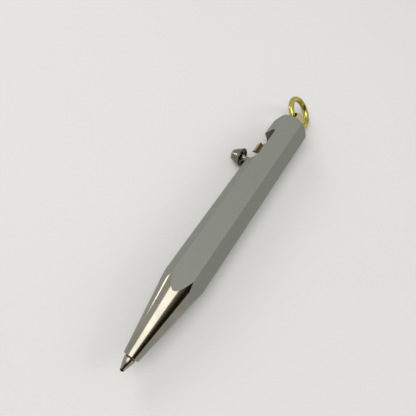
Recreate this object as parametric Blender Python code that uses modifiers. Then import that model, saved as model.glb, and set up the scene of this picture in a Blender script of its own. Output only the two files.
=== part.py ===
"""Keychain push pen: a six-sided metal barrel with turned ends, a bolt that slides a ballpoint
refill out and in along a milled track, and a key ring through the tail.

Metres, +Z up. The pen lies on one flat with its nose towards -X, and the origin is the middle of
that flat. Inside the pen's own frame Z runs along the axis from nose to tail, and angles are
measured round the axis from the table, towards the bolt's side.
"""

import math

import bmesh
import bpy
from mathutils import Matrix, Vector

# Barrel: a six-sided bar, turned to a cone at the nose. At the tail a steep shoulder goes down to
# a thin stub with a round end, which the key ring's hole goes through.
ACROSS_FLATS = 0.0090
BARREL_LENGTH = 0.0799
NOSE_CONE_LENGTH = 0.0195
NOSE_RIM_RADIUS = 0.00185
NOSE_RIM_ROUND = 0.00020
STUB_LENGTH = 0.0037
STUB_RADIUS = 0.0021
STUB_BLEND = 0.0006
SHOULDER_ANGLE = math.radians(50)

# Bore: one drilling from the nose that ends blind behind the slider.
BORE_DIAMETER = 0.0030
BORE_MOUTH_CHAMFER = 0.00012
BORE_END_CLEARANCE = 0.0003
DRILL_POINT_ANGLE = math.radians(118)

# Track: a lane along the barrel, with a pocket at each end where the bolt turns up and locks.
TRACK_TO_TAIL = 0.0216
TRACK_TRAVEL = 0.0080
TRACK_WIDTH = 0.0033
TRACK_CORNER_RADIUS = 0.0016
LANE_ANGLE = math.radians(74)
LOCK_ANGLE = math.radians(133)
TONGUE_LENGTH = 0.00325
GROOVE_FLOOR_RADIUS = 0.0036

# Slider: the brass plug that runs in the bore and carries the bolt and the refill.
SLIDER_CLEARANCE = 0.0001
SLIDER_FRONT = 0.0031
SLIDER_REAR = 0.0027
SLIDER_CHAMFER = 0.0002
SPIGOT_LENGTH = 0.0040

# Bolt: a stud in the slider, a collar that fits the track, a thin neck, and a ringed knob with a
# hollow under its rim, into which the neck flares.
TRACK_CLEARANCE = 0.00015
STUD_DIAMETER = 0.0016
STUD_REACH = 0.0009
STUD_CLEARANCE = 0.0001
STEM_SEAT_CLEARANCE = 0.00008
COLLAR_HEIGHT = 0.0013
NECK_RADIUS = 0.0007
KNOB_CLEARANCE = 0.0009
KNOB_FLARE = 0.0012
KNOB_HOLLOW = 0.00035
KNOB_LIP = 0.0003
KNOB_RIM_RADIUS = 0.00260
KNOB_RIM_HEIGHT = 0.00015
KNOB_GRIP_HEIGHT = 0.00310
KNOB_END_RADIUS = 0.00140
KNOB_END_ROUND = 0.00030
KNOB_TAPER_POWER = 1.2
KNOB_GROOVE_DEPTH = 0.00014
KNOB_GROOVE_WIDTH = 0.00024
KNOB_RINGS = 4

# Refill: a thin metal tube of ink with a turned point and its writing ball. The point's cone has a
# shoulder, wider than the tube, that stands a little out of the nose.
TUBE_DIAMETER = 0.00235
TUBE_BORE = 0.00180
TUBE_FRONT = 0.0010
POINT_REACH = 0.0032
POINT_SHOULDER_RADIUS = 0.00135
POINT_SHOULDER_GAP = 0.00025
POINT_SHANK_LENGTH = 0.0028
POINT_DUCT_RADIUS = 0.00025
POINT_LIP_RADIUS = 0.00046
BALL_RADIUS = 0.00035
BALL_CLEARANCE = 0.00003
BALL_SHOWING = 0.00018
REFILL_CLEARANCE = 0.00005
SEAT_CLEARANCE = 0.0001
FOLLOWER_LENGTH = 0.0030
AIR_LENGTH = 0.0073

# Key ring: round brass wire bent to a ring, through an eased hole across the tail.
RING_MEAN_RADIUS = 0.0043
WIRE_DIAMETER = 0.0017
RING_JOINT_GAP = 0.0003
RING_LIFT = 0.00002
KEY_HOLE_TO_TAIL = 0.0026
KEY_HOLE_ANGLE = math.radians(133)
KEY_HOLE_CLEARANCE = 0.00025
KEY_HOLE_EASE = 0.00040

# Fineness of the round shapes, and how far a cutter runs past what it cuts.
BARREL_STEPS = 96
ROUND_STEPS = 48
FINE_STEPS = 32
ARC_STEPS = 8
RING_POINTS = 72
MERGE = 0.00001
OVERRUN = 0.0010

# Sizes that follow from the ones above.
APOTHEM = ACROSS_FLATS / 2
CORNER_RADIUS = ACROSS_FLATS / math.sqrt(3)
BORE_RADIUS = BORE_DIAMETER / 2
WIRE_RADIUS = WIRE_DIAMETER / 2
COLLAR_RADIUS = TRACK_WIDTH / 2 - TRACK_CLEARANCE
SLIDER_RADIUS = BORE_RADIUS - SLIDER_CLEARANCE
NOSE_END = -BARREL_LENGTH / 2
TAIL_END = BARREL_LENGTH / 2
BOLT_STATION = TAIL_END - TRACK_TO_TAIL
BORE_END = BOLT_STATION + TRACK_TRAVEL + SLIDER_REAR + BORE_END_CLEARANCE
SPIGOT_RADIUS = TUBE_BORE / 2 - REFILL_CLEARANCE


def clear_scene():
    """Start from an empty scene."""
    for thing in list(bpy.data.objects):
        bpy.data.objects.remove(thing, do_unlink=True)


def new_collection(name):
    """A collection of that name in the scene."""
    collection = bpy.data.collections.new(name)
    bpy.context.scene.collection.children.link(collection)
    return collection


def metal(name, colour, roughness, metallic=1.0):
    """A Principled material."""
    material = bpy.data.materials.new(name)
    material.use_nodes = True
    shader = material.node_tree.nodes["Principled BSDF"]
    shader.inputs["Base Color"].default_value = (*colour, 1.0)
    shader.inputs["Roughness"].default_value = roughness
    shader.inputs["Metallic"].default_value = metallic
    return material


def empty(name, parent=None, matrix=None):
    """An empty that carries other objects."""
    thing = bpy.data.objects.new(name, None)
    PARTS.objects.link(thing)
    thing.parent = parent
    thing.matrix_basis = matrix or Matrix()
    return thing


def add(name, mesh, collection, parent, matrix=None):
    """An object with that mesh under the parent."""
    thing = bpy.data.objects.new(name, mesh)
    collection.objects.link(thing)
    thing.parent = parent
    thing.matrix_basis = matrix or Matrix()
    return thing


def finish(thing, material):
    """Give a finished piece its material and smooth shading with crisp edges."""
    thing.data.materials.append(material)
    thing.data.shade_smooth()
    return thing


def as_cutter(thing):
    """Show a cutter as wires only and leave it out of the renders."""
    thing.hide_render = True
    thing.display_type = "WIRE"
    return thing


def boolean(target, cutter, operation="DIFFERENCE"):
    """Cut the target by the cutter."""
    modifier = target.modifiers.new(cutter.name, "BOOLEAN")
    modifier.operation = operation
    modifier.solver = "EXACT"
    modifier.object = cutter
    as_cutter(cutter)


def turned(name, profile, steps, collection, parent, matrix=None):
    """A shape turned about Z from a profile of (radius, height) that runs down its outer side."""
    mesh = bpy.data.meshes.new(name)
    points = [(radius, 0, height) for radius, height in profile]
    edges = [(index, index + 1) for index in range(len(points) - 1)]
    mesh.from_pydata(points, edges, [])
    thing = add(name, mesh, collection, parent, matrix)
    screw = thing.modifiers.new("turn", "SCREW")
    screw.axis = "Z"
    screw.angle = math.tau
    screw.steps = steps
    screw.render_steps = steps
    screw.use_merge_vertices = True
    screw.merge_threshold = MERGE
    screw.use_smooth_shade = True
    return thing


def turned_ring(name, profile, steps, collection, parent, matrix=None):
    """A turned shape with a hole through it: the profile is a closed loop."""
    loop = profile + profile[:1]
    return turned(name, loop, steps, collection, parent, matrix)


def flat_outline(name, points, thickness, parent, matrix=None):
    """A closed outline in the local XY plane, made solid to both sides of it."""
    curve = bpy.data.curves.new(name, "CURVE")
    curve.dimensions = "2D"
    curve.fill_mode = "BOTH"
    curve.extrude = thickness / 2
    spline = curve.splines.new("POLY")
    spline.points.add(len(points) - 1)
    for point, (x, y) in zip(spline.points, points):
        point.co = (x, y, 0, 1)
    spline.use_cyclic_u = True
    mesh = curve_mesh(name, curve)
    return add(name, mesh, CUTTERS, parent, matrix)


def curve_mesh(name, curve):
    """The welded mesh of a curve, which is then removed."""
    source = bpy.data.objects.new(name, curve)
    PARTS.objects.link(source)
    graph = bpy.context.evaluated_depsgraph_get()
    graph.update()
    mesh = bpy.data.meshes.new_from_object(source.evaluated_get(graph))
    bpy.data.objects.remove(source, do_unlink=True)
    shape = bmesh.new()
    shape.from_mesh(mesh)
    bmesh.ops.remove_doubles(shape, verts=shape.verts, dist=MERGE)
    bmesh.ops.recalc_face_normals(shape, faces=shape.faces)
    shape.to_mesh(mesh)
    shape.free()
    mesh.name = name
    return mesh


def arc(centre, radius, start, end, steps=ARC_STEPS):
    """Points (radius, height) on an arc; the angle is measured from +radius towards +height."""
    points = []
    for index in range(steps + 1):
        angle = start + (end - start) * index / steps
        points.append((centre[0] + radius * math.cos(angle), centre[1] + radius * math.sin(angle)))
    return points


def radial(angle, distance=0.0, station=0.0):
    """A frame at that angle round the pen: local Z points outwards and local X to the tail."""
    outward = Vector((math.cos(angle), math.sin(angle), 0))
    along = Vector((0, 0, 1))
    across = outward.cross(along)
    frame = Matrix((along, across, outward)).transposed().to_4x4()
    frame.translation = outward * distance + along * station
    return frame


def rounded_outline(start, end, half_width, corner):
    """A rounded rectangle from start to end along X, with the given half width along Y."""
    points = []
    quarter = math.pi / 2
    centres = (
        (end - corner, half_width - corner),
        (start + corner, half_width - corner),
        (start + corner, corner - half_width),
        (end - corner, corner - half_width),
    )
    for index, centre in enumerate(centres):
        points += arc(centre, corner, index * quarter, (index + 1) * quarter)
    return points


# The barrel.

def stub_profile():
    """Turned outline of the tail: the round end, the stub, and the blend into the shoulder."""
    foot = TAIL_END - STUB_LENGTH
    profile = arc((0, TAIL_END - STUB_RADIUS), STUB_RADIUS, math.pi / 2, 0)
    blend = (STUB_RADIUS + STUB_BLEND, foot + STUB_BLEND * math.tan(SHOULDER_ANGLE / 2))
    profile += arc(blend, STUB_BLEND, math.pi, math.pi + SHOULDER_ANGLE, ARC_STEPS // 2)
    clear = CORNER_RADIUS + OVERRUN
    profile.append((clear, foot - (clear - STUB_RADIUS) / math.tan(SHOULDER_ANGLE)))
    return profile


def envelope_profile():
    """Turned outline of both ends, wider than the bar between them."""
    profile = stub_profile()
    clear = CORNER_RADIUS + OVERRUN
    spread = math.atan2(CORNER_RADIUS - NOSE_RIM_RADIUS, NOSE_CONE_LENGTH)
    profile.append((clear, NOSE_END + NOSE_CONE_LENGTH + OVERRUN / math.tan(spread)))
    middle = NOSE_RIM_RADIUS + NOSE_RIM_ROUND * (math.tan(spread) - 1 / math.cos(spread))
    rim = (middle, NOSE_END + NOSE_RIM_ROUND)
    profile += arc(rim, NOSE_RIM_ROUND, -spread, -math.pi / 2)
    profile.append((0, NOSE_END))
    return profile


def bore_profile():
    """The drill: its point behind the slider's last place, and a small chamfer at the mouth."""
    point = BORE_RADIUS / math.tan(DRILL_POINT_ANGLE / 2)
    wide = BORE_RADIUS + BORE_MOUTH_CHAMFER
    return [
        (0, BORE_END + point),
        (BORE_RADIUS, BORE_END),
        (BORE_RADIUS, NOSE_END + BORE_MOUTH_CHAMFER),
        (wide, NOSE_END),
        (wide, NOSE_END - OVERRUN),
        (0, NOSE_END - OVERRUN),
    ]


def pocket(name, start, end, barrel):
    """Cut a pocket that lets the bolt turn from the lane up to its lock."""
    reach = CORNER_RADIUS + OVERRUN
    sweep = [(0, 0)] + arc((0, 0), reach, LANE_ANGLE, LOCK_ANGLE)
    middle = Matrix.Translation((0, 0, (start + end) / 2))
    boolean(barrel, flat_outline(name + "_sweep", sweep, end - start, PEN, middle))
    outline = rounded_outline(start, end, TRACK_WIDTH / 2, TRACK_CORNER_RADIUS)
    upright = radial(LOCK_ANGLE, reach / 2)
    boolean(barrel, flat_outline(name + "_lock", outline, reach, PEN, upright))


def cut_track(barrel):
    """Mill the lane, its two pockets and the shallow groove above the tongue between them."""
    half = TRACK_WIDTH / 2
    reach = CORNER_RADIUS + OVERRUN
    first = BOLT_STATION - half
    tongue_front = BOLT_STATION + half
    tongue_back = tongue_front + TONGUE_LENGTH
    last = BOLT_STATION + TRACK_TRAVEL + half
    lane = rounded_outline(first, last, half, half - MERGE)
    boolean(barrel, flat_outline("lane", lane, reach, PEN, radial(LANE_ANGLE, reach / 2)))
    pocket("front_pocket", first, tongue_front, barrel)
    pocket("back_pocket", tongue_back, last, barrel)
    depth = reach - GROOVE_FLOOR_RADIUS
    groove = [(first + half, -half), (last - half, -half), (last - half, half), (first + half, half)]
    place = radial(LOCK_ANGLE, GROOVE_FLOOR_RADIUS + depth / 2)
    boolean(barrel, flat_outline("groove", groove, depth, PEN, place))


def cut_key_hole(barrel):
    """Drill the key ring's hole across the tail and ease its mouths."""
    half = STUB_RADIUS / 2
    top = CORNER_RADIUS + OVERRUN
    wide = KEY_HOLE_RADIUS + KEY_HOLE_EASE * (top - half) / STUB_RADIUS
    profile = [(0, top), (wide, top), (KEY_HOLE_RADIUS, half)]
    profile += [(radius, -height) for radius, height in reversed(profile)]
    frame = radial(KEY_HOLE_ANGLE, 0, HINGE_STATION)
    boolean(barrel, turned("key_hole", profile, ROUND_STEPS, CUTTERS, PEN, frame))


def make_barrel():
    """The six-sided bar with its turned ends, bore, track and key hole."""
    length = BARREL_LENGTH + 2 * OVERRUN
    bpy.ops.mesh.primitive_cylinder_add(vertices=6, radius=CORNER_RADIUS, depth=length)
    barrel = bpy.context.active_object
    barrel.name = "barrel"
    barrel.data.name = "barrel"
    for collection in list(barrel.users_collection):
        collection.objects.unlink(barrel)
    PARTS.objects.link(barrel)
    barrel.parent = PEN
    half_step = Matrix.Rotation(math.pi / BARREL_STEPS, 4, "Z")
    envelope = turned("envelope", envelope_profile(), BARREL_STEPS, CUTTERS, PEN, half_step)
    boolean(barrel, envelope, "INTERSECT")
    boolean(barrel, turned("bore", bore_profile(), ROUND_STEPS, CUTTERS, PEN))
    cut_track(barrel)
    cut_key_hole(barrel)
    finish(barrel, metal("titanium", (0.29, 0.29, 0.255), 0.35))
    return barrel


# The bolt.

def make_slider():
    """The brass plug: a spigot in front for the refill, and a cross hole for the bolt's stud."""
    back = BOLT_STATION + SLIDER_REAR
    front = BOLT_STATION - SLIDER_FRONT
    tip = front - SPIGOT_LENGTH
    edge = SLIDER_RADIUS - SLIDER_CHAMFER
    lead = SPIGOT_RADIUS - SLIDER_CHAMFER
    profile = [
        (0, back),
        (edge, back),
        (SLIDER_RADIUS, back - SLIDER_CHAMFER),
        (SLIDER_RADIUS, front + SLIDER_CHAMFER),
        (edge, front),
        (SPIGOT_RADIUS, front),
        (SPIGOT_RADIUS, tip + SLIDER_CHAMFER),
        (lead, tip),
        (0, tip),
    ]
    slider = turned("bolt_slider", profile, ROUND_STEPS, PARTS, BOLT_TURN)
    radius = STUD_DIAMETER / 2 + STUD_CLEARANCE
    reach = BORE_RADIUS + OVERRUN
    drill = [(0, reach), (radius, reach), (radius, -reach), (0, -reach)]
    frame = radial(LANE_ANGLE, 0, BOLT_STATION)
    boolean(slider, turned("stud_hole", drill, FINE_STEPS, CUTTERS, BOLT_TURN, frame))
    return finish(slider, metal("slider_brass", (0.55, 0.42, 0.18), 0.30))


def grip_radius(height):
    """Radius of the knob's tapered grip at that height above its rim."""
    share = height / KNOB_GRIP_HEIGHT
    return KNOB_RIM_RADIUS - (KNOB_RIM_RADIUS - KNOB_END_RADIUS) * share ** KNOB_TAPER_POWER


def grip_profile(rim):
    """Outline of the ringed grip, from its rounded end down to the rim."""
    profile = [(0, rim + KNOB_GRIP_HEIGHT)]
    top = KNOB_GRIP_HEIGHT - KNOB_END_ROUND
    inner = grip_radius(top) - KNOB_END_ROUND
    profile += arc((inner, rim + top), KNOB_END_ROUND, math.pi / 2, 0, ARC_STEPS // 2)
    pitch = top / KNOB_RINGS
    half = KNOB_GROOVE_WIDTH / 2
    for ring in range(KNOB_RINGS - 1, 0, -1):
        middle = ring * pitch
        profile.append((grip_radius(middle + pitch / 2), rim + middle + pitch / 2))
        profile.append((grip_radius(middle + half), rim + middle + half))
        profile.append((grip_radius(middle) - KNOB_GROOVE_DEPTH, rim + middle))
        profile.append((grip_radius(middle - half), rim + middle - half))
    profile.append((grip_radius(pitch / 2), rim + pitch / 2))
    profile.append((KNOB_RIM_RADIUS, rim))
    return profile


def knob_profile():
    """Outline of the bolt from the knob's end down to the stud in the slider."""
    neck = CORNER_RADIUS + KNOB_CLEARANCE
    under = neck + KNOB_FLARE - KNOB_HOLLOW
    edge = KNOB_RIM_RADIUS - KNOB_RIM_HEIGHT
    profile = grip_profile(under + KNOB_RIM_HEIGHT)
    profile += [(edge, under), (edge - KNOB_LIP, under)]
    profile += arc((NECK_RADIUS + KNOB_FLARE, neck), KNOB_FLARE, math.pi / 2, math.pi)
    seat = BORE_RADIUS + STEM_SEAT_CLEARANCE
    collar = seat + COLLAR_HEIGHT
    profile += [(NECK_RADIUS, collar), (COLLAR_RADIUS, collar), (COLLAR_RADIUS, seat)]
    stud = STUD_DIAMETER / 2
    return profile + [(stud, seat), (stud, -STUD_REACH), (0, -STUD_REACH)]


def make_handle():
    """The bolt's stud, collar, neck and ringed knob, turned from one bar."""
    frame = radial(LANE_ANGLE, 0, BOLT_STATION)
    handle = turned("bolt_handle", knob_profile(), ROUND_STEPS, PARTS, BOLT_TURN, frame)
    return finish(handle, metal("polished_titanium", (0.33, 0.315, 0.275), 0.18))


# The refill.

def make_tube():
    """The refill's thin metal tube, open at both ends."""
    outer = TUBE_DIAMETER / 2
    inner = TUBE_BORE / 2
    back = BOLT_STATION - SLIDER_FRONT - SEAT_CLEARANCE
    front = NOSE_END + TUBE_FRONT
    profile = [(inner, back), (outer, back), (outer, front), (inner, front)]
    tube = turned_ring("refill_tube", profile, ROUND_STEPS, PARTS, REFILL)
    return finish(tube, metal("tube_nickel", (0.55, 0.53, 0.48), 0.28))


def make_point():
    """The turned point: a shank in the tube, a collar, a shoulder, and a cone to the ball's seat."""
    centre = NOSE_END - POINT_REACH + BALL_RADIUS
    seat = BALL_RADIUS + BALL_CLEARANCE
    lip = centre - BALL_RADIUS + BALL_SHOWING
    collar_back = NOSE_END + TUBE_FRONT - SEAT_CLEARANCE
    back = collar_back + POINT_SHANK_LENGTH
    shank = TUBE_BORE / 2 - REFILL_CLEARANCE
    outer = TUBE_DIAMETER / 2
    shoulder = NOSE_END - POINT_SHOULDER_GAP
    start = math.asin((lip - centre) / seat)
    end = math.acos(POINT_DUCT_RADIUS / seat)
    profile = [
        (POINT_DUCT_RADIUS, back),
        (shank, back),
        (shank, collar_back),
        (outer, collar_back),
        (outer, shoulder),
        (POINT_SHOULDER_RADIUS, shoulder),
        (POINT_LIP_RADIUS, lip),
    ]
    profile += arc((0, centre), seat, start, end)
    point = turned_ring("refill_point", profile, FINE_STEPS, PARTS, REFILL)
    return finish(point, metal("point_nickel", (0.40, 0.35, 0.27), 0.22))


def make_ball():
    """The writing ball in its seat."""
    mesh = bpy.data.meshes.new("writing_ball")
    shape = bmesh.new()
    segments = FINE_STEPS // 2
    bmesh.ops.create_uvsphere(shape, u_segments=segments, v_segments=segments, radius=BALL_RADIUS)
    shape.to_mesh(mesh)
    shape.free()
    place = Matrix.Translation((0, 0, NOSE_END - POINT_REACH + BALL_RADIUS))
    ball = add("writing_ball", mesh, PARTS, REFILL, place)
    return finish(ball, metal("ball_carbide", (0.03, 0.03, 0.03), 0.15))


def make_ink():
    """The ink behind the point, and the grease that follows it as it is used up."""
    radius = TUBE_BORE / 2 - REFILL_CLEARANCE
    front = NOSE_END + TUBE_FRONT + POINT_SHANK_LENGTH
    end = BOLT_STATION - SLIDER_FRONT - SPIGOT_LENGTH - AIR_LENGTH
    start = end - FOLLOWER_LENGTH
    back = start - SEAT_CLEARANCE
    column = [(0, back), (radius, back), (radius, front), (0, front)]
    ink = turned("ink_column", column, FINE_STEPS, PARTS, REFILL)
    finish(ink, metal("ink", (0.01, 0.01, 0.02), 0.30, 0.0))
    plug = [(0, end), (radius, end), (radius, start), (0, start)]
    follower = turned("ink_follower", plug, FINE_STEPS, PARTS, REFILL)
    return finish(follower, metal("follower_grease", (0.60, 0.58, 0.45), 0.20, 0.0))


# The key ring.

def ring_fit():
    """Half the bow of the wire inside the hole, which sets the hole's size and the hinge."""
    return (RING_MEAN_RADIUS - math.sqrt(RING_MEAN_RADIUS ** 2 - STUB_RADIUS ** 2)) / 2


def ring_lowest(swing):
    """Height of the ring's lowest point over the table when it is swung down by that angle."""
    tilt = math.sin(KEY_HOLE_ANGLE)
    drop = HINGE_DISTANCE * math.sin(swing) * tilt
    spread = RING_MEAN_RADIUS * math.sqrt(1 - (tilt * math.cos(swing)) ** 2)
    return APOTHEM - drop - spread - WIRE_RADIUS


def ring_rest():
    """The swing at which the ring lies on the table."""
    low = 0.0
    high = math.pi / 2
    for _ in range(60):
        middle = (low + high) / 2
        if ring_lowest(middle) > RING_LIFT:
            low = middle
        else:
            high = middle
    return low


def make_key_ring():
    """Round wire bent to a ring, with its ends meeting inside the hole."""
    hinge = Vector((math.cos(KEY_HOLE_ANGLE), math.sin(KEY_HOLE_ANGLE), 0))
    level = Vector((math.sin(KEY_HOLE_ANGLE), -math.cos(KEY_HOLE_ANGLE), 0))
    swing = ring_rest()
    out = Vector((0, 0, 1)) * math.cos(swing) + level * math.sin(swing)
    frame = Matrix((out, hinge.cross(out), hinge)).transposed().to_4x4()
    frame.translation = (0, 0, HINGE_STATION)
    curve = bpy.data.curves.new("key_ring", "CURVE")
    curve.dimensions = "3D"
    curve.bevel_depth = WIRE_RADIUS
    curve.bevel_resolution = 4
    curve.use_fill_caps = True
    spline = curve.splines.new("POLY")
    spline.points.add(RING_POINTS)
    gap = RING_JOINT_GAP / RING_MEAN_RADIUS
    for index, point in enumerate(spline.points):
        angle = math.pi + gap / 2 + (math.tau - gap) * index / RING_POINTS
        x = HINGE_DISTANCE + RING_MEAN_RADIUS * math.cos(angle)
        z = RING_MEAN_RADIUS * math.sin(angle)
        point.co = (x, 0, z, 1)
    mesh = curve_mesh("key_ring", curve)
    ring = add("key_ring", mesh, PARTS, PEN, frame)
    return finish(ring, metal("ring_brass", (0.60, 0.52, 0.12), 0.22))


HINGE_STATION = TAIL_END - KEY_HOLE_TO_TAIL
HINGE_DISTANCE = RING_MEAN_RADIUS - ring_fit()
KEY_HOLE_RADIUS = WIRE_RADIUS + ring_fit() + KEY_HOLE_CLEARANCE

clear_scene()
PARTS = new_collection("keychain_push_pen")
CUTTERS = new_collection("cutters")
LYING = Matrix.Translation((0, 0, APOTHEM)) @ Matrix.Rotation(math.pi / 2, 4, "Y")
PEN = empty("pen_axis", None, LYING)
REFILL = empty("refill_slide", PEN)
BOLT_TURN = empty("bolt_turn", REFILL)

make_barrel()
make_slider()
make_handle()
make_tube()
make_point()
make_ball()
make_ink()
make_key_ring()
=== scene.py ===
"""Keychain push pen, dressed for its picture.

The pen lies on one flat with its nose towards -X and its bolt towards +Y, and its axis is half the
width across the flats above the table. Angles round the pen are measured from the table towards
the bolt. Lengths are metres.
"""

import math

import bmesh
import bpy
import numpy as np
from mathutils import Matrix, Vector


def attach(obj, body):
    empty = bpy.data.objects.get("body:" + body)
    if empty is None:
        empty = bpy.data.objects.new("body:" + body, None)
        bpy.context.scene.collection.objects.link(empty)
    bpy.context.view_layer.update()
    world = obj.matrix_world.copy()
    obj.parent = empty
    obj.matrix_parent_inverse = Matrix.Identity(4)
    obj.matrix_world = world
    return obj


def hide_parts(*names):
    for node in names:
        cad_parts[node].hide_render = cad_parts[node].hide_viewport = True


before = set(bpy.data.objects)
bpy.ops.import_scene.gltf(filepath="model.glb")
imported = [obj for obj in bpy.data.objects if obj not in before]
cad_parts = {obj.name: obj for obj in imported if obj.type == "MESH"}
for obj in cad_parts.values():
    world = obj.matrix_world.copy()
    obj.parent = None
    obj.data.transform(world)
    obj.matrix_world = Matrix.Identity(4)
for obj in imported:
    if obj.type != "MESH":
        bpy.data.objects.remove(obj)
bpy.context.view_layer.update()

# The camera stands close above the nose's side of the pen and looks down at it through a wide
# lens.
CAMERA_PLACE = Vector((-0.03803412, -0.01285477, 0.08548770))
CAMERA_RIGHT = Vector((0.54376, -0.83754, 0.05341))
CAMERA_UP = Vector((0.73666, 0.50682, 0.44773))
CAMERA_LENS_MM = 30.74
CAMERA_SENSOR_MM = 36.0
CAMERA_NEAR = 0.001


def make_camera():
    """Camera whose axes are right, up, and their cross product out of its back."""
    right = CAMERA_RIGHT.normalized()
    back = right.cross(CAMERA_UP).normalized()
    camera = bpy.data.objects.new("camera", bpy.data.cameras.new("camera"))
    camera.matrix_world = Matrix((right, back.cross(right), back)).transposed().to_4x4()
    camera.location = CAMERA_PLACE
    camera.data.lens = CAMERA_LENS_MM
    camera.data.sensor_width = CAMERA_SENSOR_MM
    camera.data.clip_start = CAMERA_NEAR
    bpy.context.scene.collection.objects.link(camera)
    bpy.context.scene.camera = camera


make_camera()
bpy.context.scene.view_settings.view_transform = "Standard"


# The table is a sheet of pale paper. A finish is built up from nodes, and the sums on its sockets
# are written as plain expressions.
TABLE_SIDE = 6.0
TABLE_DROP = 0.00001
PAPER = (0.672, 0.672, 0.669)
PAPER_SHADE = (0.648, 0.645, 0.638)


class Socket:
    """An output of a node; + - * / and ** with numbers or other outputs add Math nodes."""

    def __init__(self, nodes, output):
        self.nodes = nodes
        self.output = output

    def maths(self, operation, *values):
        inputs = dict(enumerate(values))
        return self.nodes.node("Math", {"operation": operation}, inputs)

    def __add__(self, other):
        return self.maths("ADD", self, other)

    def __sub__(self, other):
        return self.maths("SUBTRACT", self, other)

    def __rsub__(self, other):
        return self.maths("SUBTRACT", other, self)

    def __mul__(self, other):
        return self.maths("MULTIPLY", self, other)

    def __truediv__(self, other):
        return self.maths("DIVIDE", self, other)

    def __pow__(self, other):
        return self.maths("POWER", self, other)

    def step(self, low, high):
        """Smoothly from 0 where this is low to 1 where it is high."""
        inputs = {"Value": self, "From Min": low, "From Max": high}
        return self.nodes.node("MapRange", {"interpolation_type": "SMOOTHSTEP"}, inputs)

    __radd__ = __add__
    __rmul__ = __mul__


class Nodes:
    """A tree of nodes in the making."""

    def __init__(self, tree):
        self.tree = tree

    def feed(self, node, inputs):
        """Give a node's inputs their values or links."""
        for name, value in inputs.items():
            socket = node.inputs[name]
            if isinstance(value, Socket):
                self.tree.links.new(value.output, socket)
            elif socket.type == "RGBA":
                socket.default_value = (*value, 1.0)
            else:
                socket.default_value = value

    def node(self, kind, settings, inputs, output=0):
        """A new node with its settings, then its inputs, as a socket."""
        made = self.tree.nodes.new("ShaderNode" + kind)
        for name, value in settings.items():
            setattr(made, name, value)
        self.feed(made, inputs)
        return Socket(self, made.outputs[output])


class Finish(Nodes):
    """A material in the making, with one shader."""

    def __init__(self, name, **plain):
        self.material = bpy.data.materials.new(name)
        self.material.use_nodes = True
        super().__init__(self.material.node_tree)
        self.shader = self.tree.nodes["Principled BSDF"]
        self.shade(**plain)

    def shade(self, **inputs):
        """Feed the shader's sockets, written with _ for a space."""
        self.feed(self.shader, {name.replace("_", " "): v for name, v in inputs.items()})

    def place(self, scale=(1, 1, 1), turn=(0, 0, 0)):
        """The object's coordinates, stretched and turned."""
        where = self.node("TexCoord", {}, {}, "Object")
        return self.node("Mapping", {}, {"Vector": where, "Scale": scale, "Rotation": turn})

    def noise(self, where, scale, detail=2.0):
        """Noise from 0 to 1 with that many waves in a metre."""
        return self.node("TexNoise", {}, {"Vector": where, "Scale": scale, "Detail": detail})

    def tool_rings(self, along, waves, detail=2.0):
        """Uneven rings of a tool from 0 to 1, with that many waves in a metre along the work."""
        inputs = {"W": along * waves, "Scale": 1.0, "Detail": detail}
        return self.node("TexNoise", {"noise_dimensions": "1D"}, inputs)

    def axis(self, where, name):
        """One coordinate of a vector."""
        return self.node("SeparateXYZ", {}, {"Vector": where}, name)

    def mix(self, share, first, second):
        """A colour from the first to the second."""
        return self.node("Mix", {"data_type": "RGBA"}, {0: share, 6: first, 7: second}, 2)

    def bump(self, height, depth, strength=1.0):
        """A bump whose full height is that depth."""
        return self.node("Bump", {}, {"Height": height, "Distance": depth, "Strength": strength})


def paper_finish():
    """Pale paper, a little uneven."""
    paper = Finish("paper", Roughness=0.85)
    where = paper.place()
    paper.shade(Base_Color=paper.mix(paper.noise(where, 14, 3), PAPER, PAPER_SHADE))
    paper.shade(Normal=paper.bump(paper.noise(where, 2500, 4), 0.00002, 0.3))
    return paper.material


def make_table():
    """A level square under the pen."""
    side = np.array([-1.0, 1.0]) * TABLE_SIDE / 2
    x, y = np.meshgrid(side, side)
    points = np.stack([x, y, np.full_like(x, -TABLE_DROP)], -1).reshape(-1, 3)
    mesh = bpy.data.meshes.new("table")
    mesh.from_pydata(points.tolist(), [], [(0, 1, 3, 2)])
    mesh.materials.append(paper_finish())
    table = bpy.data.objects.new("table", mesh)
    bpy.context.scene.collection.objects.link(table)


make_table()


# The light is one soft box above the pen in a pale room, a weak fill panel low on each side, and a
# small window at the knob's side. A dark curtain stands out of the picture behind the camera:
# polished metal mirrors it as the dark band beside the bright one.
ROOM_SHOWN = (0.78, 0.77, 0.75)
ROOM_LIGHT = (0.55, 0.55, 0.54)
BOX_HEIGHT = 0.60
BOX_SLOPES = {"x": (-0.68, 0.06), "y": (-0.28, 0.68)}
BOX_POWER = 2.02
LAMP_COLOUR = (1.0, 0.99, 0.965)
FILL_PLACES = {"right": (0.34, -0.50, 0.32), "left": (0.26, 0.52, 0.32)}
FILL_SIZE = (0.30, 0.25)
FILL_SPREAD = math.radians(90)
FILL_POWER = 0.28
WINDOW_PLACE = (-0.03, 0.60, 0.065)
WINDOW_SIZE = (0.14, 0.08)
WINDOW_POWER = 0.16
CURTAIN_RADIUS = 0.55
CURTAIN_AZIMUTHS = (math.radians(-205), math.radians(-72))
CURTAIN_FOOT = math.radians(20)
CURTAIN_TOP = math.radians(69)
CURTAIN_LOW_TOP = math.radians(51)
CURTAIN_SLOPES = (math.radians(-152), math.radians(-118))
CURTAIN_LEVELS = (0.012, 0.34)
CURTAIN_FADE = (0.66, 0.95)
CURTAIN_TINT = (1.0, 0.88, 0.60)


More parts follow.
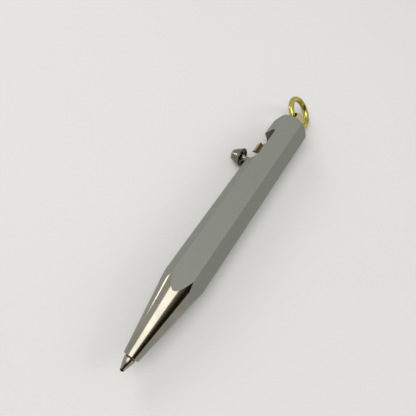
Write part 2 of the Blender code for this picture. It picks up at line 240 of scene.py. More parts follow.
def make_room():
    """A world that lights the pen softly, and shows paler to the eye and in mirrors."""
    world = bpy.data.worlds.new("room")
    bpy.context.scene.world = world
    world.use_nodes = True
    room = Nodes(world.node_tree)
    kinds = ("Is Camera Ray", "Is Glossy Ray", "Is Transmission Ray")
    camera, glossy, through = (room.node("LightPath", {}, {}, kind) for kind in kinds)
    light = room.node("Background", {}, {"Color": ROOM_LIGHT})
    pale = room.node("Background", {}, {"Color": ROOM_SHOWN})
    both = room.node("MixShader", {}, {0: camera + glossy + through, 1: light, 2: pale})
    room.feed(world.node_tree.nodes["World Output"], {"Surface": both})


def make_lamp(name, size, power, place, aim=False):
    """A rectangular lamp at that place, facing straight down or aimed at the pen."""
    lamp = bpy.data.lights.new(name, "AREA")
    lamp.shape = "RECTANGLE"
    lamp.size, lamp.size_y = size
    lamp.energy = power
    lamp.color = LAMP_COLOUR
    thing = bpy.data.objects.new(name, lamp)
    thing.location = place
    if aim:
        thing.rotation_euler = Vector(place).to_track_quat("Z", "Y").to_euler()
    bpy.context.scene.collection.objects.link(thing)
    return thing


def make_lamps():
    """A level soft box over the slopes that it covers as seen from the pen, fill panels, and the
    window that the knob mirrors as a bright line."""
    low, high = np.array([BOX_SLOPES["x"], BOX_SLOPES["y"]]).T * BOX_HEIGHT
    make_lamp("soft_box", (high - low).tolist(), BOX_POWER, (*((low + high) / 2), BOX_HEIGHT))
    for side, place in FILL_PLACES.items():
        panel = make_lamp(side + "_panel", FILL_SIZE, FILL_POWER, place, aim=True)
        panel.data.spread = FILL_SPREAD
        panel.visible_glossy = False
    window = make_lamp("window", WINDOW_SIZE, WINDOW_POWER, WINDOW_PLACE, aim=True)
    window.visible_diffuse = False


def curtain_glow():
    """Almost black at the foot, and dimly lit towards the top."""
    glow = Finish("curtain", Base_Color=(0, 0, 0), Roughness=1.0, Emission_Strength=1.0)
    height = glow.axis(glow.place(), "Z") / CURTAIN_RADIUS
    dark, dim = (tuple(part * level for part in CURTAIN_TINT) for level in CURTAIN_LEVELS)
    glow.shade(Emission_Color=glow.mix(height.step(*CURTAIN_FADE), dark, dim))
    return glow.material


def make_curtain():
    """A curtain on a sphere about the pen, between two azimuths. Its top slopes down to a lower
    one towards the nose's side."""
    azimuth, share = np.meshgrid(np.linspace(*CURTAIN_AZIMUTHS, 65), np.linspace(0, 1, 17))
    top = np.interp(azimuth, CURTAIN_SLOPES, (CURTAIN_LOW_TOP, CURTAIN_TOP))
    elevation = CURTAIN_FOOT + (top - CURTAIN_FOOT) * share
    level = np.cos(elevation)
    points = np.stack([level * np.cos(azimuth), level * np.sin(azimuth), np.sin(elevation)], -1)
    points *= CURTAIN_RADIUS
    index = np.arange(azimuth.size).reshape(azimuth.shape)
    quads = np.stack([index[:-1, :-1], index[1:, :-1], index[1:, 1:], index[:-1, 1:]], -1)
    mesh = bpy.data.meshes.new("curtain")
    mesh.from_pydata(points.reshape(-1, 3).tolist(), [], quads.reshape(-1, 4).tolist())
    mesh.materials.append(curtain_glow())
    curtain = bpy.data.objects.new("curtain", mesh)
    curtain.visible_camera = False
    curtain.visible_shadow = False
    curtain.visible_diffuse = False
    bpy.context.scene.collection.objects.link(curtain)


make_room()
make_lamps()
make_curtain()


# The barrel is a six-sided bar of titanium, turned to a cone at the nose and to a stub at the
# tail, bored from the nose, milled for the bolt's track and drilled across the stub for the ring.
# Its flats are finely blasted and its turned ends are polished.
ACROSS_FLATS = 0.0090
BARREL_LENGTH = 0.0799
EDGE_ROUND = 0.00010
NOSE_CONE_LENGTH = 0.0195
NOSE_RIM_RADIUS = 0.00185
NOSE_RIM_ROUND = 0.00020
STUB_LENGTH = 0.0037
STUB_RADIUS = 0.0021
STUB_BLEND = 0.0006
SHOULDER_ANGLE = math.radians(50)
BORE_RADIUS = 0.0015
BORE_MOUTH_CHAMFER = 0.00012
BORE_END = 0.02935
BORE_POINT = 0.0009
TRACK_TO_TAIL = 0.0216
TRACK_TRAVEL = 0.0080
TRACK_WIDTH = 0.0033
TRACK_CORNER_RADIUS = 0.0016
LANE_ANGLE = math.radians(74)
LOCK_ANGLE = math.radians(133)
TONGUE_LENGTH = 0.00325
GROOVE_FLOOR_RADIUS = 0.0036
KEY_HOLE_TO_TAIL = 0.0026
KEY_HOLE_ANGLE = math.radians(133)
KEY_HOLE_RADIUS = 0.001374
KEY_HOLE_STRAIGHT = 0.00105
KEY_HOLE_EASE = 0.00030
CUT_REACH = 0.0065
WELD = 0.000001
CONE_MISS = 0.00001
BAR_MISS = 0.00002
MASK_FADE = 0.0001
STUB_REFLECTION_FADE = (0.0004, 0.0008)
TONGUE_HIGHLIGHT_FROM = 0.0030

BLASTED_GREY = (0.224, 0.231, 0.204)
BLASTED_PALE = (0.253, 0.260, 0.230)
BLASTED_METALLIC = 0.45
# The tongue's bright colour is a painted highlight along its top, with some wear.
TONGUE_PAINTED_HIGHLIGHT = (0.36, 0.355, 0.335)
BLASTED_EDGE_TINT = (0.55, 0.55, 0.55)
BLASTED_ROUGHNESS = 0.65
TURNED_GREY = (0.277, 0.259, 0.214)
TURNED_PALE = (0.310, 0.293, 0.249)
# The stub's straw colour is a painted reflection of the brass ring.
STUB_BRASS_REFLECTION = (0.56, 0.48, 0.27)
MILLED_GREY = (0.175, 0.170, 0.145)
GROOVE_STRAW = (0.380, 0.300, 0.150)
# The ring's hole is darkened in colour: painted shade inside it, with some grime.
DRILLED_PAINTED_SHADE = (0.050, 0.046, 0.040)

APOTHEM = ACROSS_FLATS / 2
CORNER_RADIUS = ACROSS_FLATS / math.sqrt(3)
NOSE_END = -BARREL_LENGTH / 2
TAIL_END = BARREL_LENGTH / 2
BOLT_STATION = TAIL_END - TRACK_TO_TAIL
AXIS_HEIGHT = APOTHEM


def arc(centre, radius, start, end, steps=12):
    """Points (radius, station) at even angles on an arc, from +radius towards +station."""
    angle = np.linspace(start, end, steps + 1)
    return np.stack([centre[0] + radius * np.cos(angle), centre[1] + radius * np.sin(angle)], -1)


def skin(name, rings, loop=False):
    """A mesh over rings of points, an array (rows, columns, 3): a quad between each two
    neighbours, round every ring, and from the last ring to the first one in a loop. An end ring
    that isn't in a loop is closed by one face. UV is the share round the ring and the row."""
    rows, columns, _ = rings.shape
    index = np.arange(rows * columns).reshape(rows, columns)
    below = index if loop else index[:-1]
    above = np.roll(index, -1, 0) if loop else index[1:]
    quads = np.stack([below, np.roll(below, -1, 1), np.roll(above, -1, 1), above], -1)
    faces = quads.reshape(-1, 4).tolist()
    if not loop:
        faces += [index[0, ::-1].tolist(), index[-1].tolist()]
    mesh = bpy.data.meshes.new(name)
    mesh.from_pydata(rings.reshape(-1, 3).tolist(), [], faces)
    corner = np.zeros((len(mesh.loops), 2), np.float32)
    row, column = np.divmod(np.arange(len(below) * columns), columns)
    share = np.stack([column, column + 1, column + 1, column], -1) / columns
    height = np.stack([row, row, row + 1, row + 1], -1) / rows
    corner[: share.size] = np.stack([share, height], -1).reshape(-1, 2)
    mesh.uv_layers.new(name="wrap").data.foreach_set("uv", corner.ravel())
    return tidy_mesh(mesh)


def tidy_mesh(mesh):
    """Merge the points that meet, and turn the faces outwards."""
    shape = bmesh.new()
    shape.from_mesh(mesh)
    bmesh.ops.remove_doubles(shape, verts=shape.verts, dist=WELD)
    bmesh.ops.recalc_face_normals(shape, faces=shape.faces)
    shape.to_mesh(mesh)
    shape.free()
    return mesh


def turned(name, profile, steps, origin, axis, side=Vector((1, 0, 0))):
    """A mesh turned about an axis: each (radius, height) of the profile becomes a ring of points
    origin + height * axis + radius * (cos * side + sin * (axis x side))."""
    axis = Vector(axis).normalized()
    first = np.array(side)
    second = np.array(axis.cross(Vector(side)))
    angle = np.linspace(0, math.tau, steps, endpoint=False)
    round_it = np.cos(angle)[:, None] * first + np.sin(angle)[:, None] * second
    profile = np.asarray(profile, float)
    up_it = profile[:, None, 1:] * np.array(axis)
    return skin(name, np.array(origin) + up_it + profile[:, None, :1] * round_it)


def outward(angle):
    """Unit vector out of the pen at an angle from the table towards the bolt."""
    return Vector((0, math.sin(angle), -math.cos(angle)))


def hexagon_radius(angle):
    """Distance from the axis to the six-sided bar: apothem / cos on a flat, and a small arc
    about a centre on the corner's line where the edge is rounded."""
    sector = math.pi / 3
    turn = np.abs((angle + sector / 2) % sector - sector / 2)
    flat = APOTHEM / np.cos(turn)
    centre = (APOTHEM - EDGE_ROUND) / math.cos(sector / 2)
    off = sector / 2 - turn
    rest = np.clip(EDGE_ROUND ** 2 - (centre * np.sin(off)) ** 2, 0, None)
    edge = centre * np.cos(off) + np.sqrt(rest)
    start = math.atan((APOTHEM - EDGE_ROUND) * math.tan(sector / 2) / APOTHEM)
    return np.where(turn > start, edge, flat)


def barrel_angles():
    """Angles round the bar: even ones over each flat, and close ones over its rounded edges."""
    half = math.pi / 6
    start = math.atan((APOTHEM - EDGE_ROUND) * math.tan(half) / APOTHEM)
    over_flat = np.linspace(-start, start, 41)
    over_edge = np.linspace(start, 2 * half - start, 7)[1:-1]
    sector = np.concatenate([over_flat, over_edge])
    return (sector + np.arange(6)[:, None] * 2 * half).ravel()


NOSE_TAPER = (CORNER_RADIUS - NOSE_RIM_RADIUS) / NOSE_CONE_LENGTH
SHOULDER_TAPER = math.tan(SHOULDER_ANGLE)
STUB_FOOT = TAIL_END - STUB_LENGTH
BLEND_STATION = STUB_FOOT + STUB_BLEND * math.tan(SHOULDER_ANGLE / 2)
STUB_DOME = TAIL_END - STUB_RADIUS


def stub_profile():
    """The tail from the shoulder's foot: a quarter-round blend, the stub and its round end."""
    centre = (STUB_RADIUS + STUB_BLEND, BLEND_STATION)
    blend = arc(centre, STUB_BLEND, math.pi + SHOULDER_ANGLE, math.pi, 10)
    dome = arc((0, STUB_DOME), STUB_RADIUS, 0, math.radians(89.5), 28)
    return np.concatenate([blend, dome])


def barrel_mesh():
    """Rings from the nose to the tail. A turned end's rings are circles of its profile, a cone's
    last ring is where the cone meets the bar, x = (bar - rim) / taper, and the flats run between
    those two scallops."""
    angle = barrel_angles()
    bar = hexagon_radius(angle)
    spread = math.atan(NOSE_TAPER)
    middle = NOSE_RIM_RADIUS + NOSE_RIM_ROUND * (NOSE_TAPER - 1 / math.cos(spread))
    rim = arc((middle, NOSE_END + NOSE_RIM_ROUND), NOSE_RIM_ROUND, -math.pi / 2, -spread)
    stub = stub_profile()
    nose_scallop = NOSE_END + (bar - NOSE_RIM_RADIUS) / NOSE_TAPER
    tail_scallop = STUB_FOOT - (bar - STUB_RADIUS) / SHOULDER_TAPER
    same = np.ones_like(angle)
    rows = [(radius * same, station * same) for radius, station in rim]
    for share in np.linspace(0, 1, 13)[1:]:
        radius = rim[-1][0] + (bar - rim[-1][0]) * share
        rows.append((radius, rim[-1][1] + (nose_scallop - rim[-1][1]) * share))
    rows.append((bar, tail_scallop))
    for share in np.linspace(0, 1, 7)[1:-1]:
        radius = bar + (stub[0][0] - bar) * share
        rows.append((radius, tail_scallop + (stub[0][1] - tail_scallop) * share))
    rows += [(radius * same, station * same) for radius, station in stub]
    rings = [
        np.stack([x, r * np.sin(angle), AXIS_HEIGHT - r * np.cos(angle)], -1) for r, x in rows
    ]
    return skin("barrel_body", np.array(rings))


def new_piece(name, mesh, *materials):
    """An object of that mesh at the origin."""
    for material in materials:
        mesh.materials.append(material)
    piece = bpy.data.objects.new(name, mesh)
    bpy.context.scene.collection.objects.link(piece)
    return piece


def rounded_outline(start, end, half_width, corner):
    """Points (along, across) of a rectangle with round corners."""
    turn = math.pi / 2
    corners = [(end, 1, 0), (start, 1, 1), (start, -1, 2), (end, -1, 3)]
    arcs = []
    for station, side, quarter in corners:
        inward = -corner if quarter in (0, 3) else corner
        centre = (station + inward, side * (half_width - corner))
        arcs.append(arc(centre, corner, quarter * turn, (quarter + 1) * turn))
    return np.concatenate(arcs)


def slot_mesh(name, outline, angle, low, high):
    """A cutter: an outline along and across the pen, drawn out from one radius to another."""
    out = np.array(outward(angle))
    across = np.array(Vector(out).cross(Vector((1, 0, 0))))
    along = np.array((1.0, 0, 0))
    flat = outline[:, :1] * along + outline[:, 1:] * across + (0, 0, AXIS_HEIGHT)
    return skin(name, np.array([flat + out * low, flat + out * high]))


def wedge_mesh(name, start, end):
    """A cutter: the slice that the bolt sweeps between the lane and its lock."""
    angle = np.linspace(LANE_ANGLE, LOCK_ANGLE, 25)
    rim = np.stack([0 * angle, np.sin(angle), -np.cos(angle)], -1) * CUT_REACH
    slice_of_it = np.concatenate([[[0, 0, 0]], rim]) + (0, 0, AXIS_HEIGHT)
    return skin(name, np.array([slice_of_it + (start, 0, 0), slice_of_it + (end, 0, 0)]))


def track_cutters():
    """The lane, a pocket at each end of it, and the shallow groove above the tongue."""
    half = TRACK_WIDTH / 2
    first, last = BOLT_STATION - half, BOLT_STATION + TRACK_TRAVEL + half
    tongue = (BOLT_STATION + half, BOLT_STATION + half + TONGUE_LENGTH)
    lane = rounded_outline(first, last, half, half - 10 * WELD)
    yield slot_mesh("lane", lane, LANE_ANGLE, 0, CUT_REACH)
    for name, start, end in (("front", first, tongue[0]), ("back", tongue[1], last)):
        outline = rounded_outline(start, end, half, TRACK_CORNER_RADIUS)
        yield wedge_mesh(name + "_sweep", start, end)
        yield slot_mesh(name + "_lock", outline, LOCK_ANGLE, 0, CUT_REACH)
    ends = (first + half, last - half)
    groove = np.array([(ends[0], -half), (ends[1], -half), (ends[1], half), (ends[0], half)])
    yield slot_mesh("groove", groove, LOCK_ANGLE, GROOVE_FLOOR_RADIUS, CUT_REACH)


def key_hole_cutter():
    """A drill whose radius opens with the square of the height past its straight middle."""
    height = np.linspace(KEY_HOLE_STRAIGHT, CUT_REACH, 16)
    share = (height - KEY_HOLE_STRAIGHT) / (CORNER_RADIUS - KEY_HOLE_STRAIGHT)
    mouth = np.stack([KEY_HOLE_RADIUS + KEY_HOLE_EASE * share ** 2, height], -1)
    profile = np.concatenate([mouth[::-1] * (1, -1), mouth])
    origin = (TAIL_END - KEY_HOLE_TO_TAIL, 0, AXIS_HEIGHT)
    return turned("key_hole", profile, 96, origin, outward(KEY_HOLE_ANGLE))


def bore_cutter():
    """The drill that goes in at the nose, with its point and a chamfer at the mouth."""
    wide = BORE_RADIUS + BORE_MOUTH_CHAMFER
    profile = [(wide, NOSE_END - CUT_REACH), (wide, NOSE_END)]
    profile += [(BORE_RADIUS, NOSE_END + BORE_MOUTH_CHAMFER), (BORE_RADIUS, BORE_END)]
    profile += [(WELD, BORE_END + BORE_POINT)]
    side = Vector((0, 0, 1))
    return turned("bore", profile, 96, (0, 0, AXIS_HEIGHT), (1, 0, 0), side)


def cut(piece, cutters):
    """Cut a piece by each of the meshes, and keep the result as its mesh."""
    for mesh in cutters:
        cutter = new_piece(mesh.name, mesh)
        modifier = piece.modifiers.new(mesh.name, "BOOLEAN")
        modifier.solver = "EXACT"
        modifier.object = cutter
    graph = bpy.context.evaluated_depsgraph_get()
    made = bpy.data.meshes.new_from_object(piece.evaluated_get(graph))
    for modifier in list(piece.modifiers):
        bpy.data.objects.remove(modifier.object, do_unlink=True)
        piece.modifiers.remove(modifier)
    piece.data = made


def face_points(mesh):
    """Centres and normals of a mesh's faces, with the height taken from the pen's axis."""
    centre = np.empty(len(mesh.polygons) * 3)
    normal = np.empty(len(mesh.polygons) * 3)
    mesh.polygons.foreach_get("center", centre)
    mesh.polygons.foreach_get("normal", normal)
    return centre.reshape(-1, 3) - (0, 0, AXIS_HEIGHT), normal.reshape(-1, 3)


def turned_ends(point, radius):
    """Which faces lie on the turned ends: on the nose cone or its rim, on the shoulder, or on
    the stub past the shoulder."""
    cone = NOSE_RIM_RADIUS + (point[:, 0] - NOSE_END) * NOSE_TAPER
    nose = (np.abs(cone - radius) < CONE_MISS) | (point[:, 0] < NOSE_END + NOSE_RIM_ROUND)
    slope = STUB_RADIUS + (STUB_FOOT - point[:, 0]) * SHOULDER_TAPER
    shoulder = np.abs(slope - radius) < CONE_MISS
    dome = np.hypot(np.maximum(point[:, 0] - STUB_DOME, 0), radius)
    stub = (point[:, 0] > STUB_FOOT - STUB_BLEND) & (dome > STUB_RADIUS - 0.00003)
    return (nose | shoulder | stub) & (radius > BORE_RADIUS * (point[:, 0] < 0) + 0.00005)


def sort_barrel_faces(mesh):
    """Give each face its finish: 0 blasted outside, 1 turned ends, 2 cuts, 3 the groove and the
    walls over it, 4 the ring's hole."""
    centre, normal = face_points(mesh)
    radius = np.hypot(centre[:, 1], centre[:, 2])
    outside = (centre * normal)[:, 1:].sum(1) > 0.75 * radius
    angle = np.arctan2(centre[:, 1], -centre[:, 2])
    bar = np.abs(radius - hexagon_radius(angle)) < BAR_MISS
    hole = np.array(outward(KEY_HOLE_ANGLE))
    along_hole = centre @ hole
    off_hole = centre - (TAIL_END - KEY_HOLE_TO_TAIL, 0, 0) - along_hole[:, None] * hole
    drilled = np.linalg.norm(off_hole, axis=1) < KEY_HOLE_RADIUS + KEY_HOLE_EASE * 2
    drilled &= (np.abs(normal @ hole) < 0.6) & ((off_hole * normal).sum(1) < 0)
    drilled &= centre[:, 0] > STUB_FOOT - STUB_RADIUS
    along_groove = np.array(outward(LOCK_ANGLE))
    groove = (centre @ along_groove > GROOVE_FLOOR_RADIUS - BAR_MISS) & (radius > BORE_RADIUS)
    groove &= (centre[:, 0] > BOLT_STATION) & (centre[:, 0] < BOLT_STATION + TRACK_TRAVEL)
    kind = np.full(len(centre), 2)
    kind[groove] = 3
    kind[bar & outside] = 0
    kind[turned_ends(centre, radius) & ~drilled] = 1
    kind[drilled] = 4
    mesh.polygons.foreach_set("material_index", kind.astype(np.int32))
    mesh.polygons.foreach_set("use_smooth", np.ones(len(kind), bool))
    return kind


def set_barrel_normals(mesh, kind):
    """True normals for the turned ends, so that they shine as one surface: out from the axis and
    along it by the taper, and out from the round end's centre. Other faces keep their own."""
    mesh.set_sharp_from_angle(angle=math.radians(24))
    count = len(mesh.loops)
    vertex = np.empty(count, np.int32)
    mesh.loops.foreach_get("vertex_index", vertex)
    place = np.empty(len(mesh.vertices) * 3)
    mesh.vertices.foreach_get("co", place)
    point = place.reshape(-1, 3)[vertex] - (0, 0, AXIS_HEIGHT)
    size = np.empty(len(mesh.polygons), np.int32)
    mesh.polygons.foreach_get("loop_total", size)
    face_kind = np.repeat(kind, size)
    centre, normal = face_points(mesh)
    radius = np.hypot(point[:, 1], point[:, 2])
    turn = np.where(point[:, 0] < 0, -math.atan(NOSE_TAPER), SHOULDER_ANGLE)
    blend = np.clip((radius - STUB_RADIUS - STUB_BLEND) / -STUB_BLEND, -1, 1)
    in_blend = (point[:, 0] > 0) & (blend > math.cos(SHOULDER_ANGLE))
    turn = np.where(in_blend, np.arccos(blend), turn)
    past = np.clip((point[:, 0] - STUB_DOME) / STUB_RADIUS, 0, 1)
    turn = np.where(point[:, 0] > BLEND_STATION, np.arcsin(past), turn)
    out = point / np.maximum(radius, WELD)[:, None]
    smooth = np.stack([np.sin(turn), out[:, 1] * np.cos(turn), out[:, 2] * np.cos(turn)], -1)
    rim = point[:, 0] < NOSE_END + NOSE_RIM_ROUND * 1.01
    flat = (face_kind == 0) & (np.abs(np.repeat(flat_miss(centre), size)) < WELD)
    wanted = np.zeros((count, 3))
    shiny = (face_kind == 1) & ~rim
    wanted[shiny] = smooth[shiny]
    wanted[flat] = np.repeat(normal, size, axis=0)[flat]
    mesh.normals_split_custom_set(wanted.tolist())


def flat_miss(point):
    """How far a point is from the nearest of the bar's six flats."""
    angle = np.arange(6) * math.pi / 3
    out = np.stack([np.sin(angle), -np.cos(angle)], -1)
    return (point[:, 1:] @ out.T).max(1) - APOTHEM


def blasted_finish():
    """Finely blasted titanium: soft grey grain, faint streaks along the bar, and edges rubbed a
    little brighter."""
    metal = Finish("blasted_titanium", Metallic=BLASTED_METALLIC)
    metal.shade(Specular_Tint=BLASTED_EDGE_TINT)
    where = metal.place()
    streaks = metal.noise(metal.place(scale=(0.06, 1, 1)), 5200, 3)
    grain = metal.noise(where, 9000, 3)
    clouds = metal.noise(where, 160, 4)
    height = metal.axis(where, "Z") - AXIS_HEIGHT
    across = metal.axis(where, "Y")
    far = (height * height + across * across) ** 0.5
    rubbed = far.step(CORNER_RADIUS * 0.955, CORNER_RADIUS * 0.985)
    tone = clouds * 0.5 + streaks * 0.35 + grain * 0.3 + rubbed * 0.2 - 0.15
    station = metal.axis(where, "X")
    front = BOLT_STATION + TRACK_WIDTH / 2
    back = front + TONGUE_LENGTH
    # Painted highlight: over the top of the tongue the blasted grey turns brighter, a lit strip
    # painted on, with some wear.
    over_tongue = station.step(front - MASK_FADE, front) - station.step(back, back + MASK_FADE)
    tongue_highlight = over_tongue * across.step(TONGUE_HIGHLIGHT_FROM, TONGUE_HIGHLIGHT_FROM + MASK_FADE)
    grey = metal.mix(tone, BLASTED_GREY, BLASTED_PALE)
    metal.shade(Base_Color=metal.mix(tongue_highlight, grey, TONGUE_PAINTED_HIGHLIGHT))
    uneven = (streaks - 0.5) * 0.08 + (grain - 0.5) * 0.06 - rubbed * 0.02
    metal.shade(Roughness=uneven + BLASTED_ROUGHNESS)
    metal.shade(Normal=metal.bump(grain + streaks * 0.6, 0.000004, 0.5))
    return metal.material


def turned_finish():
    """Turned and polished titanium: fine rings from the tool, and faint smears of handling."""
    metal = Finish("turned_titanium", Metallic=1.0)
    where = metal.place()
    along = metal.axis(where, "X")
    rings = metal.tool_rings(along, 9000, 3.0)
    smears = metal.noise(where, 260, 4)
    grey = metal.mix(smears.step(0.35, 0.7), TURNED_GREY, TURNED_PALE)
    # Painted reflection: past the shoulder the stub turns to straw, the brass ring's reflection
    # painted into its colour.
    past = along.step(STUB_FOOT - STUB_REFLECTION_FADE[0], STUB_FOOT + STUB_REFLECTION_FADE[1])
    metal.shade(Base_Color=metal.mix(past, grey, STUB_BRASS_REFLECTION))
    metal.shade(Roughness=0.10 + smears * 0.06 + (rings - 0.5) * 0.04 + past * 0.25)
    metal.shade(Normal=metal.bump(rings, 0.0000002, 0.5))
    return metal.material


def milled_finish(name, colour, roughness):
    """A milled cut: crossing arcs of the cutter's teeth."""
    metal = Finish(name, Metallic=1.0)
    where = metal.place()
    marks = metal.noise(metal.place(scale=(1, 0.15, 0.15)), 7000, 2)
    clouds = metal.noise(where, 700, 2)
    darker = tuple(part * 0.72 for part in colour)
    metal.shade(Base_Color=metal.mix(marks * 0.6 + clouds * 0.4, darker, colour))
    metal.shade(Roughness=roughness + (marks - 0.5) * 0.15)
    metal.shade(Normal=metal.bump(marks, 0.000004, 0.6))
    return metal.material


def make_barrel():
    """The barrel with its cuts, its five finishes and its true normals."""
    barrel = new_piece("barrel_body", barrel_mesh())
    cut(barrel, [bore_cutter(), *track_cutters(), key_hole_cutter()])
    kind = sort_barrel_faces(barrel.data)
    set_barrel_normals(barrel.data, kind)
    milled = milled_finish("milled_titanium", MILLED_GREY, 0.32)
    groove = milled_finish("groove_titanium", GROOVE_STRAW, 0.26)
    # The hole's finish is near black: painted shade where shade falls inside the hole, with some
    # grime.
    drilled = milled_finish("drilled_titanium_shade", DRILLED_PAINTED_SHADE, 0.50)
    for material in (blasted_finish(), turned_finish(), milled, groove, drilled):
        barrel.data.materials.append(material)
    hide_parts("barrel")
    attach(barrel, "barrel")


make_barrel()


# The bolt is a titanium knob on a thin neck, turned from one bar with a hollow under its rim and
# fine rings for the thumb. A collar on it fits the track, and its stud goes into a brass slider
# in the bore.
COLLAR_RADIUS = 0.0015
COLLAR_SEAT = 0.00158
COLLAR_HEIGHT = 0.0013
COLLAR_EDGE = 0.00010
STUD_RADIUS = 0.0008
STUD_END = -0.0009
NECK_RADIUS = 0.0007
KNOB_NECK = CORNER_RADIUS + 0.00090
KNOB_FLARE = 0.0012
KNOB_RIM_RADIUS = 0.00260
KNOB_RIM_HEIGHT = 0.00015
KNOB_LIP = 0.00030
KNOB_HOLLOW = 0.00035
KNOB_UNDER = KNOB_NECK + KNOB_FLARE - KNOB_HOLLOW
KNOB_GRIP_HEIGHT = 0.00309
KNOB_END_RADIUS = 0.00140
KNOB_END_ROUND = 0.00030
KNOB_TAPER_POWER = 1.2
KNOB_RING_DEPTH = 0.00014
KNOB_RING_SHARE = 0.36
KNOB_RINGS = 4
# Painted shade on the knob: how deep into a groove and over which band of the grip its colour is
# darkened.
KNOB_SHADE_DEPTH = (0.00003, 0.00011)
KNOB_SHADE_BAND = (0.0003, 0.0024)
SLIDER_RADIUS = 0.0014
SLIDER_FRONT = BOLT_STATION - 0.0031
SLIDER_REAR = BOLT_STATION + 0.0027
SLIDER_CHAMFER = 0.0002
SPIGOT_LENGTH = 0.0040
SPIGOT_RADIUS = 0.00085

KNOB_GREY = (0.275, 0.257, 0.215)
# The knob's dark colour is painted shade for its grooves and the hollow under its rim.
KNOB_PAINTED_SHADE = (0.070, 0.060, 0.045)
SLIDER_BRASS = (0.52, 0.38, 0.14)
SLIDER_DULL = (0.36, 0.26, 0.10)


def grip_profile(rim):
    """The grip from its rim to its round end: rim radius less a power of the height, with a
    smooth groove between each two rings, cos^2 over the groove's width."""
    top = KNOB_GRIP_HEIGHT - KNOB_END_ROUND
    height = np.linspace(0, top, 161)
    share = height / KNOB_GRIP_HEIGHT
    radius = KNOB_RIM_RADIUS - (KNOB_RIM_RADIUS - KNOB_END_RADIUS) * share ** KNOB_TAPER_POWER
    pitch = top / KNOB_RINGS
    off = np.abs((height / pitch + 0.5) % 1 - 0.5) / KNOB_RING_SHARE * 2
    inside = (off < 1) & (height > pitch / 2) & (height < top - pitch / 2)
    radius -= np.where(inside, KNOB_RING_DEPTH * np.cos(off * math.pi / 2) ** 2, 0)
    grip = np.stack([radius, height + rim], -1)
    centre = (radius[-1] - KNOB_END_ROUND, rim + top)
    end = arc(centre, KNOB_END_ROUND, 0, math.pi / 2, 8)[1:]
    return np.concatenate([grip, end, [(WELD, rim + KNOB_GRIP_HEIGHT)]])


def handle_profile():
    """The bolt from its stud out to the knob's end; the neck flares by a quarter circle into the
    hollow under the rim."""
    edge = KNOB_RIM_RADIUS - KNOB_RIM_HEIGHT
    top = COLLAR_SEAT + COLLAR_HEIGHT
    inner = COLLAR_RADIUS - COLLAR_EDGE
    stud = [(WELD, STUD_END), (STUD_RADIUS, STUD_END), (STUD_RADIUS, COLLAR_SEAT)]
    collar = [(inner, COLLAR_SEAT), (COLLAR_RADIUS, COLLAR_SEAT + COLLAR_EDGE)]
    collar += [(COLLAR_RADIUS, top - COLLAR_EDGE), (inner, top), (NECK_RADIUS, top)]
    flare = arc((NECK_RADIUS + KNOB_FLARE, KNOB_NECK), KNOB_FLARE, math.pi, math.pi / 2, 20)
    lip = arc((edge - KNOB_LIP / 2, KNOB_UNDER + KNOB_LIP / 2), KNOB_LIP / 2, -math.pi, 0, 8)
    return np.concatenate([stud, collar, flare, lip, grip_profile(KNOB_UNDER + KNOB_RIM_HEIGHT)])


def knob_finish():
    """Turned metal: rings of the tool round the knob, and painted shade in its grooves and hollow.
    """
    metal = Finish("polished_knob", Metallic=1.0)
    where = metal.place()
    height = metal.axis(where, "Z") - AXIS_HEIGHT
    out = outward(LANE_ANGLE)
    along = metal.axis(where, "Y") * out.y + height * out.z
    rings = metal.tool_rings(along, 12000)
    smears = metal.noise(where, 900, 3)
    across = height * out.y - metal.axis(where, "Y") * out.z
    station = metal.axis(where, "X") - BOLT_STATION
    radius = (across * across + station * station) ** 0.5
    rim = KNOB_UNDER + KNOB_RIM_HEIGHT
    taper = ((along - rim) / KNOB_GRIP_HEIGHT) ** KNOB_TAPER_POWER
    body = KNOB_RIM_RADIUS - (KNOB_RIM_RADIUS - KNOB_END_RADIUS) * taper
    low, high = (rim + end for end in KNOB_SHADE_BAND)
    on_grip = along.step(low, low + MASK_FADE) - along.step(high, high + MASK_FADE)
    groove = (body - radius).step(*KNOB_SHADE_DEPTH) * on_grip
    past_neck = radius.step(NECK_RADIUS + KNOB_FLARE * 0.6, NECK_RADIUS + KNOB_FLARE)
    hollow = past_neck - along.step(KNOB_NECK + KNOB_FLARE * 0.97, KNOB_NECK + KNOB_FLARE)
    # Painted shade: the grooves and the hollow under the rim are darkened in colour where shade
    # falls.
    groove_and_hollow_shade = groove * 0.85 + hollow.step(0.1, 0.9) * 0.6
    metal.shade(Base_Color=metal.mix(groove_and_hollow_shade + smears * 0.25, KNOB_GREY, KNOB_PAINTED_SHADE))
    metal.shade(Roughness=0.07 + smears * 0.06 + (rings - 0.5) * 0.03)
    metal.shade(Normal=metal.bump(rings, 0.0000002, 0.6))
    return metal.material


def brass_finish(name, bright, dull, roughness, wear=500):
    """Brass with a thin uneven tarnish and fine scratches."""
    metal = Finish(name, Metallic=1.0)
    where = metal.place()
    tarnish = metal.noise(where, wear, 4).step(0.40, 0.72)
    scratches = metal.noise(metal.place(scale=(0.2, 1, 1), turn=(0.4, 0.7, 0.3)), 9000, 2)
    metal.shade(Base_Color=metal.mix(tarnish, bright, dull))
    metal.shade(Roughness=roughness + tarnish * 0.10 + (scratches - 0.5) * 0.08)
    metal.shade(Normal=metal.bump(scratches, 0.0000006, 0.4))
    return metal.material


